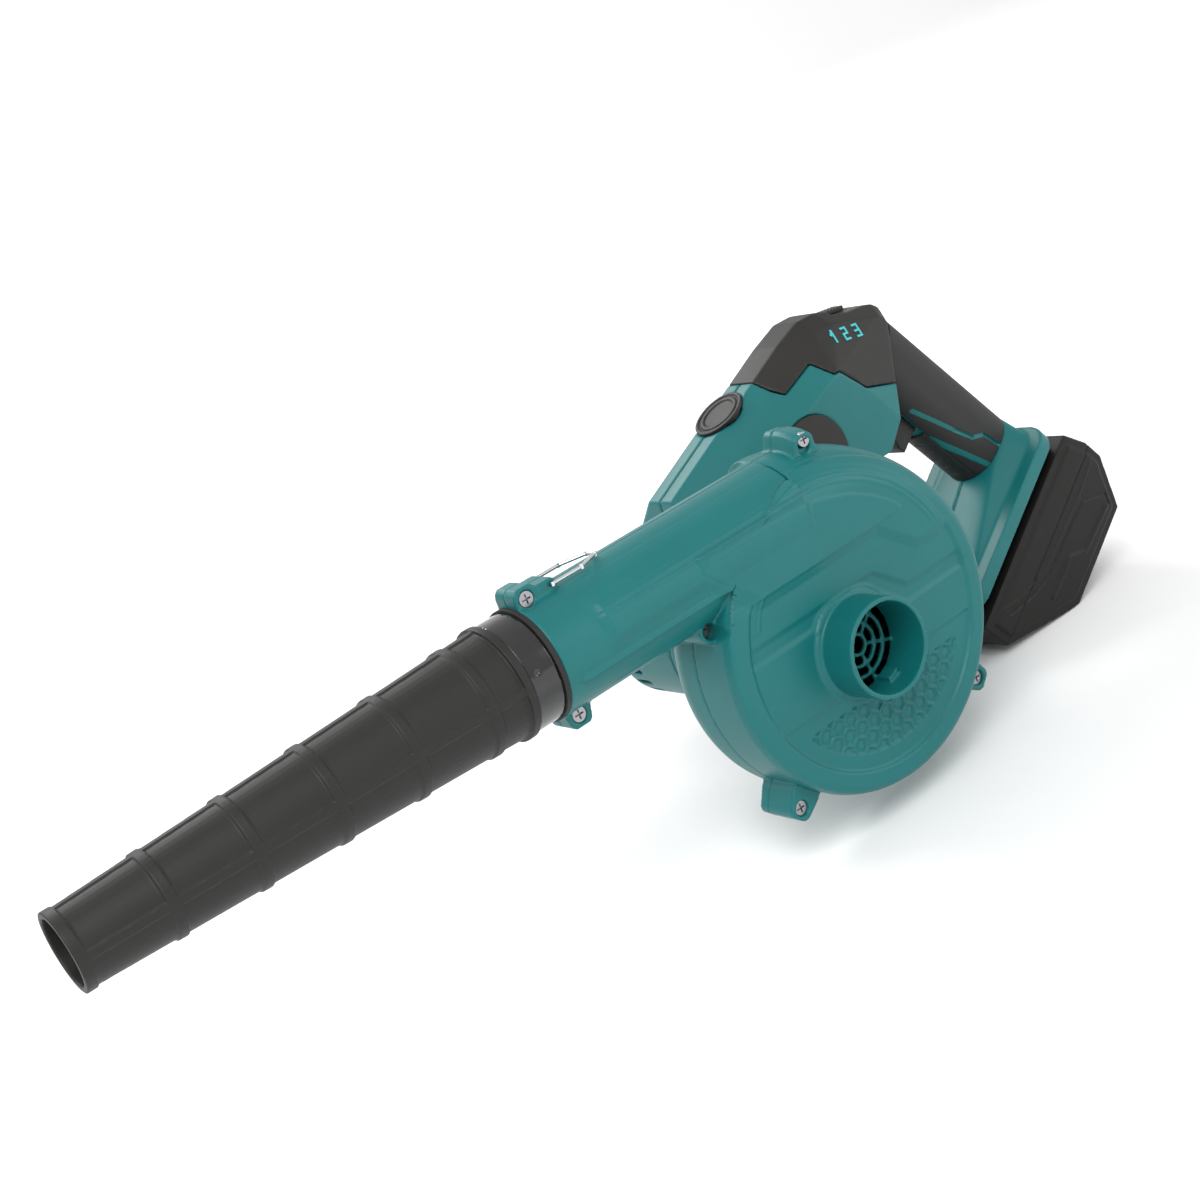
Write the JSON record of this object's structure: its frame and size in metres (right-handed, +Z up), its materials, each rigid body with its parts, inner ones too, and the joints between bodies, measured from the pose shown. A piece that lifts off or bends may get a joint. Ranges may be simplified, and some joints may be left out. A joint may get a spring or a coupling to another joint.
{
  "type": "cordless leaf blower",
  "caption": "Cordless blower: scroll fan casing with a round tube and ribbed taper nozzle, collared air inlet, pistol grip body and slide-on battery.",
  "frame": {"origin": "centre of the inlet collar's rim, on the fan axis", "axes": "-X along the blower tube towards the nozzle, -Y along the fan axis towards the air inlet, +Z up"},
  "size_m": [0.5828, 0.167, 0.199],
  "materials": {
    "teal_shell": "fine satin grain",
    "teal_figures": "satin",
    "screw_steel": "zinc plated",
    "impeller_nylon": "moulded",
    "bright_nut": "bright plated",
    "motor_steel": "plated",
    "magnet": "sintered ferrite",
    "rotor_copper": "enamelled winding",
    "bearing_steel": "ground",
    "ring_gloss": "polished",
    "seal_rubber": "matte",
    "nozzle_black": "fine grain",
    "wire_steel": "bright wire",
    "black_shell": "fine grain",
    "switch_black": "moulded",
    "board_green": "solder mask",
    "terminal_brass": "tinned",
    "spring_steel": "drawn wire",
    "grip_rubber": "soft matte",
    "battery_black": "fine grain",
    "latch_black": "moulded",
    "cell_blue": "shrink sleeve"
  },
  "bodies": {
    "housing": {"fan_cover": "teal_shell", "fan_casing": "teal_shell", "casing_screws": "screw_steel", "motor_can": "motor_steel", "motor_magnets": "magnet", "motor_bearings": "bearing_steel", "motor_screws": "screw_steel", "body_mount_screws": "screw_steel", "coupling_ring": "ring_gloss", "ring_seal": "seal_rubber", "body_near": "teal_shell", "body_far": "teal_shell", "body_screws": "screw_steel", "head_cap": "black_shell", "speed_board": "board_green", "speed_digits": "teal_figures", "front_cap": "black_shell", "side_cap": "black_shell", "trigger_spring": "spring_steel", "switch_box": "switch_black", "control_board": "board_green", "tool_terminals": "terminal_brass", "grip_pad_near": "grip_rubber", "grip_pad_far": "grip_rubber", "grip_pad_front": "grip_rubber"},
    "fan": {"impeller": "impeller_nylon", "impeller_nut": "bright_nut", "motor_rotor": "rotor_copper"},
    "tube_nozzle": {"nozzle": "nozzle_black"},
    "hanging_wire": {"wire_bail": "wire_steel"},
    "slider": {"speed_slider": "black_shell"},
    "trigger_key": {"trigger": "black_shell"},
    "battery": {"battery_top": "battery_black", "battery_base": "battery_black", "battery_cells": "cell_blue", "battery_board": "board_green", "battery_terminals": "terminal_brass", "battery_screws": "screw_steel", "latch_spring": "spring_steel"},
    "latch": {"battery_latch": "latch_black"}
  },
  "joints": [
    {"name": "fan_spin", "type": "hinge", "parent": "housing", "child": "fan", "pos_m": [0, 0.087, 0], "axis": [0, 1, 0], "continuous": true},
    {"name": "nozzle_pull", "type": "slide", "parent": "housing", "child": "tube_nozzle", "axis": [-1, 0, 0], "range_m": [0, 0.03]},
    {"name": "wire_swing", "type": "hinge", "parent": "housing", "child": "hanging_wire", "pos_m": [-0.118, 0.044, 0.089], "axis": [0, -1, 0], "range_deg": [0, 150]},
    {"name": "speed_slide", "type": "slide", "parent": "housing", "child": "slider", "axis": [0.9925, 0, -0.1219], "range_m": [0, 0.008]},
    {"name": "trigger_pull", "type": "slide", "parent": "housing", "child": "trigger_key", "axis": [0.8231, 0, 0.5678], "range_m": [0, 0.006], "stiffness_N_per_m": 600, "springref_m": -0.004, "deforming": ["trigger_spring"]},
    {"name": "battery_slide", "type": "slide", "parent": "housing", "child": "battery", "axis": [0.8231, 0, 0.5678], "range_m": [0, 0.06]},
    {"name": "latch_press", "type": "slide", "parent": "battery", "child": "latch", "axis": [0.5678, 0, -0.8231], "range_m": [0, 0.003], "stiffness_N_per_m": 800, "springref_m": -0.002, "deforming": ["latch_spring"]}
  ]
}
